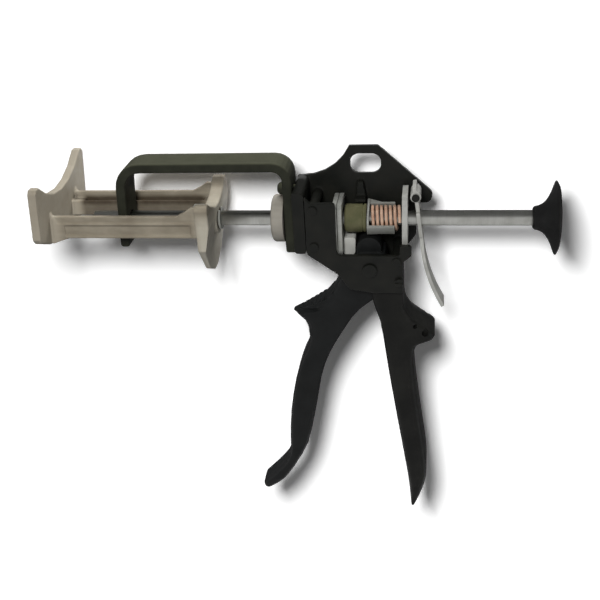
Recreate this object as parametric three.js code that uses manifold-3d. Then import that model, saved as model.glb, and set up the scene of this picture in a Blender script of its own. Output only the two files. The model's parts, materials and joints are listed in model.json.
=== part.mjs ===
// Friction-drive caulking gun: cast frame with an open side, steel push rod with a twin-rail
// carriage, bail over the carriage, trigger, rear grip and thumb release.
// Millimetres, +Z up. The muzzle points along -X, the open side of the body faces -Y.
// Inside the nested group x = 0 is the middle of the hanging slot and y = z = 0 is the rod's axis.
import * as THREE from 'three';
import { mergeVertices } from 'three/addons/utils/BufferGeometryUtils.js';
import Module from 'manifold-3d';

const wasm = await Module();
wasm.setup();

// ---------------------------------------------------------------- driving dimensions

const SEAT = 0.3;            // gap between pieces that are fixed to each other
const RUN = 0.4;             // gap between pieces that move past each other
const ARC_STEP = 15;         // degrees of turn per facet on rounded corners
const ROUND = 28;            // facets round a turned piece

// push rod
const ROD_D = 8;
const ROD_L = 241.6;
const ROD_TIP_X = -148;
const ROD_CHAMFER = 1;

// frame: two walls with the mechanism between them
const INNER_W = 23;          // clear width between the walls
const WALL = 3;
const FRONT_X = -36.2;       // front face of the front wall
const FRONT_WALL = 6.2;
const SHOULDER_Z = 19.5;     // top of the frame at its front end
const FLOOR_Z = -14.5;       // underside of the frame at its front end
const CHIN_X = -13;          // lower end of the sloping front underside
const CHIN_Z = -27;
const CHEEK_BOTTOM_Z = -37;  // underside of the walls round the trigger pivot
const REAR_X = 20;           // rear face of the grip's root
const LUG_TOP_Z = 35.4;      // flat top of the hanging lug
const LUG_FRONT_X = -8.4;
const LUG_REAR_X = 6.6;
const NOSE_X = 35.5;         // rear end of the frame's nose
const NOSE_Z = 7;
const NOSE_R = 3.5;
const SLOT_W = 16;           // hanging slot
const SLOT_H = 10.6;
const SLOT_Z = 25.7;

// open side: low wall in front of the trigger, window over the mechanism
const SIDE_TOP_Z = 13.6;
const WINDOW_FRONT_X = -14.2;
const WINDOW_REAR_X = 18.5;
const WINDOW_SILL_Z = -15.3;
const TAB_X = 24.6;
const TAB_Z = -9.8;

// bail
const BAIL_W = 18;
const BAIL_T = 5;
const BAIL_TOP_Z = 33.4;
const BAIL_FRONT_X = -129.3;
const BAIL_FRONT_BEND = 14;  // outer bend radii
const BAIL_REAR_BEND = 10;
const BAIL_FRONT_FOOT_Z = -13.5;
const BAIL_FRONT_LEAN = 3;   // the front leg's foot stands this far ahead of its top
const BAIL_REAR_FOOT_Z = -16.4;
const BOLT_Z = 16.7;
const BOLT_HEAD_D = 7;
const BOLT_HEAD_H = 3.6;
const BOLT_D = 4;

// guide collar
const COLLAR_D = 25.2;
const COLLAR_T = 6.6;
const SPIGOT_D = 12;

// drive plates and return spring
const PLATE_W = 22;
const PLATE_T = 2.3;
const PLATE_TOP_Z = 11;
const PLATE_BOTTOM_Z = -16.5;
const PLATE_REAR_X = -11.2;
const SHOE_W = 12;
const SHOE_T = 6.2;
const SHOE_TOP_Z = -8.8;
const SHOE_BOTTOM_Z = -18.4;
const RETURN_SPRING_D = 13.4;
const RETURN_WIRE = 1.6;
const RETURN_TURNS = 4;

// guide bush, spring bracket, brake
const BUSH_D = 15;
const BUSH_FRONT_X = -10.3;
const BUSH_L = 11.4;
const PILLAR_L = 5.4;        // frame pillar that holds the bush near its rear end
const BRACKET_T = 1;
const BRACKET_TILT = 60;     // degrees the bracket is turned about the rod
const BRACKET_W = 12.4;      // across the flange's foot
const BRACKET_NECK_W = 9.2;  // across the flange's raised end
const BRACKET_RISE = 3.4;    // raised end above the spring
const BRACKET_ARM_W = 6;
const BRACKET_GUSSET_L = 7;
const BRAKE_SPRING_D = 13.6;
const BRAKE_WIRE = 1.7;
const BRAKE_TURNS = 6.5;
const BRAKE_X = 19.6;        // front face of the brake plate
const BRAKE_T = 2.8;
const BRAKE_W = 20;
const BRAKE_TOP_Z = 15.2;
const BRAKE_BOTTOM_Z = -13;
const BRAKE_HOLE_D = 9.6;

// release lever
const LEVER_PIN_X = 26.4;
const LEVER_PIN_Z = 13.6;
const LEVER_PIN_D = 2.4;
const LEVER_TOP_Z = 18.6;
const LEVER_EYE_T = 1.1;     // wall round the pin
const LEVER_EAR_W = 2.4;     // each side, beside the rod's hole
const LEVER_T = 1.8;
const LEVER_W = 12;
const LEVER_HOLE_D = 10.4;

// trigger
const PIVOT_X = 3;
const PIVOT_Z = -23.5;
const PIVOT_D = 6;
const TRIGGER_W = 17;
const HEAD_X = 2.2;          // middle of the rounded thrust head
const HEAD_Z = -14.8;
const HEAD_R = 6.6;
const TRIGGER_EDGE = 3.2;
const TRIGGER_L = 154.5;     // from the pivot down to the toe
const HOOK_SHARE = 0.2;      // where along it the finger hook stands out
const CHANNEL_DEPTH = 5.5;   // hollow along the trigger's back
const CHANNEL_WALL = 3.4;

// rear grip
const GRIP_L = 147.7;        // below the frame
const GRIP_W = 24;
const GRIP_EDGE = 3.4;
const GRIP_TAPER = 2.6;      // taken off each side towards the tip

// cross screw through the grip's root
const GRIP_SCREW_X = REAR_X - 1.9;
const GRIP_SCREW_Z = -30;
const GRIP_SCREW_D = 2.2;
const GRIP_HEAD_D = 4.4;
const GRIP_HEAD_H = 1.8;

// carriage
const CARRIAGE_W = 40;       // over the two rails
const RAIL_W = 8;
const RAIL_TOP_Z = 5;
const RAIL_BOTTOM_Z = -3.4;
const RAIL_OUTER_RECESS = 1;
const GUTTER_DEPTH = 3.4;    // gutter along the top of each rail, inside its rib
const GUTTER_LIP = 1.4;      // wall left between the gutter and the rod's side
const RIB_H = 3.8;           // rib along the top of each rail
const RIB_T = 2.4;
const RIB_INSET = 0.6;       // rib's outer face behind the rail's outer face
const CARRIAGE_L = 89;       // from the forked front plate to the yoke's rear face
const SADDLE_T = 4.6;
const SADDLE_W = 69;
const SADDLE_TOP_Z = 29;
const SADDLE_DIP_Z = 17.5;
const SADDLE_DROP = 3;       // front plate below the rails
const SADDLE_LEAN = 0.09;    // forward lean of the front plate's foot, per unit of height
const YOKE_X = -85;          // front face of the rear yoke
const YOKE_T = 7;
const YOKE_W = 50;
const YOKE_TOP_Z = 16;
const YOKE_DIP_Z = 8.5;
const YOKE_SIDE_Z = -8.5;
const YOKE_LIP_T = 2.6;      // thickness at the yoke's point
const YOKE_POINT_Z = -29;
const NUT_AF = 13;
const NUT_T = 6.5;

// knob
const KNOB_GRIP = 8.1;       // length of rod inside the hub
const KNOB_L = 12.6;
const KNOB_D = 38;
const HUB_D = 12.2;
const SCREW_D = 4;

// ---------------------------------------------------------------- derived sizes

const IN = INNER_W / 2;
const OUT = IN + WALL;
const FRONT_WALL_REAR_X = FRONT_X + FRONT_WALL;
const BAIL_REAR_X = FRONT_X - SEAT - BAIL_T;
const COLLAR_X = BAIL_REAR_X - SEAT - COLLAR_T;
const ROD_END_X = ROD_TIP_X + ROD_L;
const KNOB_X = ROD_END_X - KNOB_GRIP;
const KNOB_REAR_X = KNOB_X + KNOB_L;
const SADDLE_X = YOKE_X + YOKE_T - CARRIAGE_L;
const rad = THREE.MathUtils.degToRad;

// ---------------------------------------------------------------- materials

const finish = (color, roughness, metalness) =>
  new THREE.MeshStandardMaterial({ color, roughness, metalness });
const blackCast = finish('#1d1d1c', 0.45, 0.2);
const blackPlastic = finish('#191919', 0.5, 0);
const blackPaint = finish('#232320', 0.4, 0.2);
const beigePlastic = finish('#a89c8a', 0.6, 0);
const rodSteel = finish('#b9b9b4', 0.25, 1);
const zincSteel = finish('#b5b7b3', 0.38, 1);
const goldBrass = finish('#9a946c', 0.4, 1);
const copperWire = finish('#b58a6c', 0.35, 1);

// ---------------------------------------------------------------- outline helpers

const point = (x, y) => new THREE.Vector2(x, y);

// Points of an arc from angle a0 to a1, in degrees.
function arc(cx, cy, r, a0, a1) {
  const steps = Math.max(1, Math.ceil(Math.abs(a1 - a0) / ARC_STEP));
  return Array.from({ length: steps + 1 }, (_, i) => {
    const a = rad(a0 + (a1 - a0) * i / steps);
    return point(cx + r * Math.cos(a), cy + r * Math.sin(a));
  });
}

// Closed outline from corners [x, y] or [x, y, fillet radius].
function filleted(corners) {
  const out = [];
  corners.forEach(([x, y, r = 0], i) => {
    const before = corners[(i + corners.length - 1) % corners.length];
    const after = corners[(i + 1) % corners.length];
    const here = point(x, y);
    const u = point(before[0], before[1]).sub(here);
    const v = point(after[0], after[1]).sub(here);
    const reach = Math.min(u.length(), v.length()) * 0.49;
    u.normalize();
    v.normalize();
    const half = Math.acos(THREE.MathUtils.clamp(u.dot(v), -1, 1)) / 2;
    const radius = Math.min(r, reach * Math.tan(half));
    if (radius < 0.05) {
      out.push(here);
      return;
    }
    const centre = u.clone().add(v).normalize().multiplyScalar(radius / Math.sin(half)).add(here);
    const start = u.clone().multiplyScalar(radius / Math.tan(half)).add(here).sub(centre);
    const turn = Math.sign(u.cross(v)) * (180 - 2 * THREE.MathUtils.radToDeg(half));
    const a0 = THREE.MathUtils.radToDeg(Math.atan2(start.y, start.x));
    out.push(...arc(centre.x, centre.y, radius, a0, a0 - turn));
  });
  return out;
}

const circle = (cx, cy, r, facets = ROUND) =>
  Array.from({ length: facets }, (_, i) => {
    const a = 2 * Math.PI * i / facets;
    return point(cx + r * Math.cos(a), cy + r * Math.sin(a));
  });

// Smooth open line through the given points.
const smooth = (points, steps) =>
  new THREE.CatmullRomCurve3(points.map(([x, y]) => new THREE.Vector3(x, y, 0)), false, 'centripetal')
    .getPoints(steps).map((p) => point(p.x, p.y));

// ---------------------------------------------------------------- solid helpers

function solid(geometry) {
  const bare = geometry.clone();
  bare.deleteAttribute('normal');
  bare.deleteAttribute('uv');
  const merged = mergeVertices(bare, 1e-4);
  return new wasm.Manifold(new wasm.Mesh({
    numProp: 3,
    vertProperties: new Float32Array(merged.attributes.position.array),
    triVerts: new Uint32Array(merged.index.array),
  }));
}

function geometryOf(manifold) {
  const mesh = manifold.getMesh();
  const geometry = new THREE.BufferGeometry();
  geometry.setAttribute('position', new THREE.BufferAttribute(mesh.vertProperties, 3));
  geometry.setIndex(new THREE.BufferAttribute(mesh.triVerts, 1));
  geometry.computeVertexNormals();
  return geometry;
}

const join = (first, ...rest) => rest.reduce((a, b) => a.add(b), first);
const cut = (first, ...rest) => rest.reduce((a, b) => a.subtract(b), first);

function extrude(points, depth, holes, bevel) {
  const shape = new THREE.Shape(points);
  shape.holes = holes.map((hole) => new THREE.Path(hole));
  const edge = bevel
    ? { bevelEnabled: true, bevelSize: bevel, bevelOffset: -bevel, bevelThickness: bevel, bevelSegments: 2 }
    : { bevelEnabled: false };
  const geometry = new THREE.ExtrudeGeometry(shape, { depth: depth - 2 * (bevel || 0), steps: 1, ...edge });
  return geometry.translate(0, 0, bevel || 0);
}

// Outline in x and z, running from y0 to y1.
const sideSlab = (points, y0, y1, holes = [], bevel = 0) =>
  solid(extrude(points, y1 - y0, holes, bevel).rotateX(Math.PI / 2).translate(0, y1, 0));

// Outline in y and z, running from x0 to x1.
const crossBasis = new THREE.Matrix4().makeBasis(
  new THREE.Vector3(0, 1, 0), new THREE.Vector3(0, 0, 1), new THREE.Vector3(1, 0, 0));
const crossSlab = (points, x0, x1, holes = [], bevel = 0) =>
  solid(extrude(points, x1 - x0, holes, bevel).applyMatrix4(crossBasis).translate(x0, 0, 0));

const box = (x0, x1, y0, y1, z0, z1) =>
  solid(new THREE.BoxGeometry(x1 - x0, y1 - y0, z1 - z0)
    .translate((x0 + x1) / 2, (y0 + y1) / 2, (z0 + z1) / 2));

const rodX = (d, x0, x1, y = 0, z = 0, facets = ROUND) =>
  solid(new THREE.CylinderGeometry(d / 2, d / 2, x1 - x0, facets).rotateZ(-Math.PI / 2)
    .translate((x0 + x1) / 2, y, z));

const rodY = (d, y0, y1, x, z, facets = ROUND) =>
  solid(new THREE.CylinderGeometry(d / 2, d / 2, y1 - y0, facets).translate(x, (y0 + y1) / 2, z));

// Turned piece about the rod's axis: profile of [x, radius], from front to rear.
const turnedX = (profile, facets = ROUND) =>
  solid(new THREE.LatheGeometry(profile.map(([x, r]) => point(r, x)), facets).rotateZ(-Math.PI / 2));

// Handle between a front and a rear line of points [x, z] that both run from top to bottom.
// Every level is a rectangle with rounded corners; halfWidth(z) gives its half width and
// nose(z) the radius of its two front corners.
function handle(front, rear, halfWidth, edge, nose = () => edge) {
  const xAt = (line, z) => {
    const i = Math.max(1, line.findIndex((p) => p.y <= z));
    const t = (z - line[i - 1].y) / (line[i].y - line[i - 1].y);
    return line[i - 1].x + (line[i].x - line[i - 1].x) * t;
  };
  const top = Math.min(front[0].y, rear[0].y);
  const bottom = Math.max(front.at(-1).y, rear.at(-1).y);
  const levels = [...front, ...rear].map((p) => p.y).filter((z) => z < top - 0.4 && z > bottom + 0.4)
    .sort((a, b) => b - a).reduce((kept, z) => (kept.at(-1) - z > 1.6 ? [...kept, z] : kept), [top]);
  levels.push(bottom);
  const corner = 3;
  const rings = levels.map((z) => {
    const level = THREE.MathUtils.clamp(z, bottom + 0.001, top - 0.001);
    const x0 = xAt(front, level);
    const x1 = xAt(rear, level);
    const h = halfWidth(z);
    const r = Math.min(edge, (x1 - x0) * 0.46, h * 0.9);
    const n = Math.min(nose(z), (x1 - x0) * 0.5, h * 0.96);
    const turn = (cx, cy, radius, a0) => Array.from({ length: corner + 1 }, (_, i) => {
      const a = rad(a0 + 90 * i / corner);
      return new THREE.Vector3(cx + radius * Math.cos(a), cy + radius * Math.sin(a), z);
    });
    return [...turn(x1 - r, h - r, r, 0), ...turn(x0 + n, h - n, n, 90),
      ...turn(x0 + n, n - h, n, 180), ...turn(x1 - r, r - h, r, 270)];
  });
  return solid(skin(rings));
}

// Closed skin over rings of points stacked from top to bottom, each running anticlockwise from above.
function skin(rings) {
  const n = rings[0].length;
  const last = (rings.length - 1) * n;
  const index = [];
  for (let i = 0; i < rings.length - 1; i++) {
    for (let j = 0; j < n; j++) {
      const a = i * n + j;
      const b = i * n + (j + 1) % n;
      index.push(a, b + n, b, a, a + n, b + n);
    }
  }
  for (let j = 1; j < n - 1; j++) {
    index.push(0, j, j + 1, last, last + j + 1, last + j);
  }
  return new THREE.BufferGeometry().setFromPoints(rings.flat()).setIndex(index);
}

// Coil spring along X with its middle line on the rod's axis.
function coil(outerD, wire, x0, x1, turns) {
  const r = (outerD - wire) / 2;
  const steps = Math.round(turns * 12);
  const start = x0 + wire / 2;
  const span = x1 - x0 - wire;
  const line = new THREE.CatmullRomCurve3(Array.from({ length: steps + 1 }, (_, i) => {
    const a = 2 * Math.PI * turns * i / steps;
    return new THREE.Vector3(start + span * i / steps, r * Math.cos(a), r * Math.sin(a));
  }));
  const section = new THREE.Shape(circle(0, 0, wire / 2, 7));
  return solid(new THREE.ExtrudeGeometry(section, { steps, extrudePath: line, bevelEnabled: false }));
}

// ---------------------------------------------------------------- frame

// Side outline of the tall far wall: concave sweep up to the hanging lug, straight slope to the nose.
function farWallOutline() {
  const run = LUG_FRONT_X - (FRONT_X + 3);
  const rise = LUG_TOP_Z - SHOULDER_Z;
  const sweepR = (run * run + rise * rise) / (2 * rise);
  const sweepEnd = THREE.MathUtils.radToDeg(Math.asin(run / sweepR));
  const sweep = arc(FRONT_X + 3, SHOULDER_Z + sweepR, sweepR, -90 + sweepEnd, -90);
  const lower = filleted([
    [FRONT_X, SHOULDER_Z], [FRONT_X, FLOOR_Z], [FRONT_WALL_REAR_X, FLOOR_Z, 3],
    [CHIN_X, CHIN_Z, 3], [CHIN_X + 5, CHEEK_BOTTOM_Z + 2, 4], [PIVOT_X + 2, CHEEK_BOTTOM_Z, 4],
    [REAR_X, CHEEK_BOTTOM_Z], [REAR_X, PIVOT_Z, 4], [TAB_X + 2, FLOOR_Z, 4],
    [TAB_X + 2, NOSE_Z - NOSE_R, 2], [NOSE_X - 2, NOSE_Z - NOSE_R, NOSE_R],
    [NOSE_X, NOSE_Z + 2, NOSE_R], [LUG_REAR_X, LUG_TOP_Z, 1.5], [LUG_FRONT_X, LUG_TOP_Z],
  ]);
  return [...lower, ...sweep.slice(1)];
}

const hangSlot = () => {
  const r = 4.6;
  const w = SLOT_W / 2;
  const h = SLOT_H / 2;
  return filleted([[-w, SLOT_Z - h, r], [w, SLOT_Z - h, r], [w, SLOT_Z + h, r], [-w, SLOT_Z + h, r]]);
};

// Where the low side wall is riveted to posts on the far wall: [x, z].
const POST_D = 5.2;
const RIVET_D = 2.6;
const RIVET_HEAD_D = 4.6;
const RIVET_HEAD_H = 0.9;
const POSTS = [[-25.6, 10], [-25.6, -10.2], [17, -18.6]];

function frame() {
  const wall = sideSlab(farWallOutline(), IN, OUT, [hangSlot()]);
  const frontEnd = sideSlab(filleted([
    [FRONT_X, FLOOR_Z, 1.5], [FRONT_WALL_REAR_X, FLOOR_Z, 1], [FRONT_WALL_REAR_X, SHOULDER_Z - 1.5, 1.5],
    [FRONT_WALL_REAR_X - 1.5, SHOULDER_Z, 1.5], [FRONT_X, SHOULDER_Z, 1.5],
  ]), -OUT, IN + 0.5);
  const posts = POSTS.map(([x, z]) => rodY(POST_D, -IN + SEAT, IN + 0.5, x, z, 24));
  const pillarX = BUSH_FRONT_X + BUSH_L - PILLAR_L - 0.9;
  const pillar = box(pillarX, pillarX + PILLAR_L, 2, IN + 0.5, -BUSH_D / 2 - 0.1, BUSH_D / 2 + 2);
  const gusset = sideSlab([point(pillarX, 8), point(pillarX + PILLAR_L, 8), point(pillarX + 4, 17), point(pillarX + 1, 17)],
    IN - 4, IN + 0.5);
  const body = join(wall, frontEnd, ...posts, pillar, gusset);
  return cut(body,
    rodX(SPIGOT_D + 2 * SEAT, FRONT_X - 1, FRONT_WALL_REAR_X + 1),
    rodX(BUSH_D + 2 * SEAT, pillarX - 1, pillarX + 7),
    rodX(BOLT_D + 2 * SEAT, FRONT_X - 1, FRONT_WALL_REAR_X - 1, 0, BOLT_Z, 24),
    rodY(PIVOT_D + 2 * SEAT, IN - 1, OUT + 1, PIVOT_X, PIVOT_Z, 24),
    rodY(LEVER_PIN_D + 2 * SEAT, IN - 1, OUT + 1, LEVER_PIN_X, LEVER_PIN_Z, 20),
    rodY(GRIP_SCREW_D + 2 * SEAT, IN - 1, OUT + 1, GRIP_SCREW_X, GRIP_SCREW_Z, 20),
    ...POSTS.map(([x, z]) => rodY(RIVET_D + 2 * SEAT, -IN, -IN + 6, x, z, 16)));
}

// Low side wall between the front end and the grip's root, with a rear tab behind the window.
function sideCheek() {
  const front = FRONT_WALL_REAR_X + SEAT;
  const outline = filleted([
    [front, SHOULDER_Z - 3], [front, FLOOR_Z - 0.3, 1], [CHIN_X, CHIN_Z, 3],
    [CHIN_X + 5, CHEEK_BOTTOM_Z + 2, 4], [PIVOT_X + 2, CHEEK_BOTTOM_Z, 4],
    [REAR_X, CHEEK_BOTTOM_Z], [REAR_X, WINDOW_SILL_Z - 4, 3], [TAB_X, WINDOW_SILL_Z, 1.5],
    [TAB_X, TAB_Z, 1.5], [WINDOW_REAR_X, TAB_Z, 1], [WINDOW_REAR_X, WINDOW_SILL_Z, 1],
    [WINDOW_FRONT_X, WINDOW_SILL_Z, 1.5], [WINDOW_FRONT_X, SIDE_TOP_Z, 1.5], [front + 3, SIDE_TOP_Z, 2],
  ]);
  return cut(sideSlab(outline, -OUT, -IN),
    rodY(PIVOT_D + 2 * SEAT, -OUT - 1, -IN + 1, PIVOT_X, PIVOT_Z, 24),
    rodY(GRIP_SCREW_D + 2 * SEAT, -OUT - 1, -IN + 1, GRIP_SCREW_X, GRIP_SCREW_Z, 20),
    ...POSTS.map(([x, z]) => rodY(RIVET_D + 2 * SEAT, -OUT - 1, -IN + 1, x, z, 16)));
}

function cheekRivet([x, z]) {
  const head = rodY(RIVET_HEAD_D, -OUT - RIVET_HEAD_H - 0.1, -OUT - 0.1, x, z, 24);
  return join(head, rodY(RIVET_D, -OUT - 0.2, -IN + 5, x, z, 16));
}

// ---------------------------------------------------------------- bail, bolt and collar

function bail() {
  const rear = BAIL_REAR_X + BAIL_T;
  const outer = filleted([
    [BAIL_FRONT_X - BAIL_FRONT_LEAN, BAIL_FRONT_FOOT_Z, 1.5],
    [BAIL_FRONT_X + BAIL_T - BAIL_FRONT_LEAN, BAIL_FRONT_FOOT_Z, 1.5],
    [BAIL_FRONT_X + BAIL_T, BAIL_TOP_Z - BAIL_T, BAIL_FRONT_BEND - BAIL_T],
    [BAIL_REAR_X, BAIL_TOP_Z - BAIL_T, BAIL_REAR_BEND - BAIL_T],
    [BAIL_REAR_X, BAIL_REAR_FOOT_Z, 1], [rear, BAIL_REAR_FOOT_Z, 1],
    [rear, BAIL_TOP_Z, BAIL_REAR_BEND], [BAIL_FRONT_X, BAIL_TOP_Z, BAIL_FRONT_BEND],
  ]);
  const strap = sideSlab(outer, -BAIL_W / 2, BAIL_W / 2, [], 0.7);
  return cut(strap,
    rodX(ROD_D + 2 * RUN, BAIL_FRONT_X - BAIL_FRONT_LEAN - 1, BAIL_FRONT_X + BAIL_T + 1),
    rodX(SPIGOT_D + 2 * SEAT, BAIL_REAR_X - 1, rear + 1),
    rodX(BOLT_D + 2 * SEAT, BAIL_REAR_X - 1, rear + 1, 0, BOLT_Z, 24));
}

function bailBolt() {
  const seat = BAIL_REAR_X - 0.1;
  const head = solid(new THREE.LatheGeometry([
    point(0, -BOLT_HEAD_H), point(BOLT_HEAD_D * 0.28, -BOLT_HEAD_H), point(BOLT_HEAD_D * 0.44, -BOLT_HEAD_H * 0.7),
    point(BOLT_HEAD_D / 2, -BOLT_HEAD_H * 0.25), point(BOLT_HEAD_D / 2, 0), point(0, 0),
  ], 28).rotateZ(-Math.PI / 2).translate(seat, 0, BOLT_Z));
  const socket = crossSlab(circle(0, BOLT_Z, 1.7, 6), seat - BOLT_HEAD_H - 1, seat - BOLT_HEAD_H + 1.6);
  return cut(join(head, rodX(BOLT_D, seat - 0.5, FRONT_WALL_REAR_X - 1.5, 0, BOLT_Z, 24)), socket);
}

// Flanged guide: the spigot passes through the bail and the front wall.
function guideCollar() {
  const r = COLLAR_D / 2;
  const bore = ROD_D / 2 + RUN;
  const end = FRONT_WALL_REAR_X - 0.2;
  return turnedX([
    [COLLAR_X, bore + 0.6], [COLLAR_X, r - 1.6], [COLLAR_X + 0.5, r - 0.5], [COLLAR_X + 1.6, r],
    [BAIL_REAR_X - SEAT, r], [BAIL_REAR_X - SEAT, SPIGOT_D / 2], [end, SPIGOT_D / 2], [end, bore],
    [COLLAR_X + 0.6, bore], [COLLAR_X, bore + 0.6],
  ]);
}

// ---------------------------------------------------------------- drive

const FRONT_PLATE_X = PLATE_REAR_X - 2 * PLATE_T - SEAT;

function drivePlate(x0) {
  const w = PLATE_W / 2;
  const outline = filleted([[-w, PLATE_BOTTOM_Z, 2.5], [w, PLATE_BOTTOM_Z, 2.5], [w, PLATE_TOP_Z, 4], [-w, PLATE_TOP_Z, 4]]);
  return crossSlab(outline, x0, x0 + PLATE_T, [circle(0, 0, ROD_D / 2 + RUN)]);
}

// Hardened pad on the rear drive plate that the trigger's head pushes on.
function thrustShoe() {
  const x0 = PLATE_REAR_X + SEAT;
  return sideSlab(filleted([
    [x0, SHOE_BOTTOM_Z, 0.8], [x0 + SHOE_T - 0.4, SHOE_BOTTOM_Z, 1.6], [x0 + SHOE_T, SHOE_TOP_Z, 1.6], [x0, SHOE_TOP_Z, 0.8],
  ]), -SHOE_W / 2, SHOE_W / 2);
}

const returnSpring = () =>
  coil(RETURN_SPRING_D, RETURN_WIRE, FRONT_WALL_REAR_X + SEAT, FRONT_PLATE_X - SEAT, RETURN_TURNS);

// ---------------------------------------------------------------- bush, bracket, brake

function guideBush() {
  const r = BUSH_D / 2;
  const bore = ROD_D / 2 + RUN;
  const x0 = BUSH_FRONT_X;
  const x1 = BUSH_FRONT_X + BUSH_L;
  return turnedX([
    [x0, bore + 0.4], [x0, r - 0.8], [x0 + 0.8, r], [x1 - 2.2, r], [x1 - 2.2, r - 0.5],
    [x1 - 1.5, r - 0.5], [x1 - 1.5, r], [x1 - 0.5, r], [x1, r - 0.5], [x1, bore], [x0 + 0.4, bore], [x0, bore + 0.4],
  ]);
}

const BRACKET_X = BUSH_FRONT_X + BUSH_L + SEAT;

// Sheet bracket round the brake spring: a flange against the bush and two arms along the spring.
function springBracket() {
  const inner = BRAKE_SPRING_D / 2 + RUN;
  const outer = inner + BRACKET_T;
  const reach = BRAKE_X - 4;
  const flange = crossSlab(filleted([
    [-BRACKET_W / 2, -inner - 0.5, 4.5], [BRACKET_W / 2, -inner - 0.5, 4.5],
    [BRACKET_NECK_W / 2, inner + BRACKET_RISE, 3], [-BRACKET_NECK_W / 2, inner + BRACKET_RISE, 3],
  ]), BRACKET_X, BRACKET_X + BRACKET_T, [circle(0, 0, ROD_D / 2 + RUN)]);
  const armSide = (sign, height) => sideSlab([
    point(BRACKET_X, sign * inner), point(reach, sign * inner), point(reach, sign * outer),
    point(BRACKET_X + BRACKET_GUSSET_L, sign * outer), point(BRACKET_X, sign * (outer + height)),
  ], -BRACKET_ARM_W / 2, BRACKET_ARM_W / 2);
  const turned = new THREE.Euler(rad(-BRACKET_TILT), 0, 0);
  const whole = join(flange, armSide(1, BRACKET_RISE - BRACKET_T), armSide(-1, 0.4));
  return solid(geometryOf(whole).applyMatrix4(new THREE.Matrix4().makeRotationFromEuler(turned)));
}

const brakeSpring = () =>
  coil(BRAKE_SPRING_D, BRAKE_WIRE, BRACKET_X + BRACKET_T + SEAT, BRAKE_X - SEAT, BRAKE_TURNS);

function brakePlate() {
  const w = BRAKE_W / 2;
  const outline = filleted([[-w, BRAKE_BOTTOM_Z, 2.5], [w, BRAKE_BOTTOM_Z, 2.5], [w, BRAKE_TOP_Z, 3], [-w, BRAKE_TOP_Z, 3]]);
  return crossSlab(outline, BRAKE_X, BRAKE_X + BRAKE_T, [circle(0, 0, BRAKE_HOLE_D / 2)]);
}

// ---------------------------------------------------------------- release lever

// Middle line of the lever's strip, from above the pin to the thumb end: [x, z].
const LEVER_LINE = [
  [LEVER_PIN_X - 0.7, LEVER_TOP_Z], [LEVER_PIN_X + 0.1, LEVER_PIN_Z], [28, 3], [29.3, -8], [30.5, -19], [33, -30], [36.8, -40.5], [41, -49],
];

function releaseLever() {
  const line = smooth(LEVER_LINE, 24);
  const offset = (side) => line.map((p, i) => {
    const before = line[Math.max(0, i - 1)];
    const after = line[Math.min(line.length - 1, i + 1)];
    const along = after.clone().sub(before).normalize();
    return point(p.x - along.y * side * LEVER_T / 2, p.y + along.x * side * LEVER_T / 2);
  });
  const strip = sideSlab([...offset(1).reverse(), ...offset(-1)], -LEVER_W / 2, LEVER_W / 2);
  const besideRod = (side) => offset(side).filter((p, i) => Math.abs(line[i].y) < LEVER_HOLE_D / 2 + 3);
  const waist = sideSlab([...besideRod(1).reverse(), ...besideRod(-1)],
    -LEVER_W / 2 - LEVER_EAR_W, LEVER_W / 2 + LEVER_EAR_W);
  const eyeR = LEVER_PIN_D / 2 + RUN + LEVER_EYE_T;
  const eye = rodY(2 * eyeR, -LEVER_W / 2, LEVER_W / 2, LEVER_PIN_X, LEVER_PIN_Z, 28);
  return cut(join(strip, waist, eye),
    rodY(LEVER_PIN_D + 2 * RUN, -LEVER_W, LEVER_W, LEVER_PIN_X, LEVER_PIN_Z, 24),
    rodX(LEVER_HOLE_D, LEVER_PIN_X - 3, LEVER_PIN_X + 8));
}

function leverPin() {
  const tail = -LEVER_W / 2 - RUN - 0.1;
  const shank = rodY(LEVER_PIN_D, tail, OUT + 0.4, LEVER_PIN_X, LEVER_PIN_Z, 24);
  const head = rodY(LEVER_PIN_D + 1.6, tail - 1, tail + 0.01, LEVER_PIN_X, LEVER_PIN_Z, 24);
  return join(shank, head);
}

// ---------------------------------------------------------------- trigger

// Front and rear lines of the trigger: [x, share of TRIGGER_L below the pivot].
const TRIGGER_FRONT = [
  [-4.2, -0.042], [-5.6, -0.016], [-9, 0.012], [-12.9, 0.039], [-15.4, 0.077], [-18.4, 0.117],
  [-22.6, 0.152], [-30, 0.181], [-39.2, 0.197], [-39.5, 0.205], [-34.6, 0.23], [-32.2, 0.265],
  [-31.9, 0.301], [-33.6, 0.337], [-36.5, 0.379], [-39.6, 0.437], [-42.1, 0.498], [-45.6, 0.622],
  [-47.3, 0.741], [-47.6, 0.799], [-49.8, 0.851], [-55.6, 0.904], [-62.4, 0.952], [-66.4, 0.979],
  [-65.4, 0.997],
];
const TRIGGER_REAR = [
  [10.6, -0.042], [11.6, -0.016], [11.8, 0.055], [9.8, 0.1], [5.2, 0.135], [-0.9, 0.164],
  [-6.8, 0.205], [-12.5, 0.263], [-18.2, 0.327], [-23, 0.392], [-27, 0.479], [-29.8, 0.573],
  [-32.4, 0.661], [-36, 0.761], [-41, 0.834], [-48.6, 0.917], [-55.6, 0.974], [-62.4, 1],
];

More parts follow.
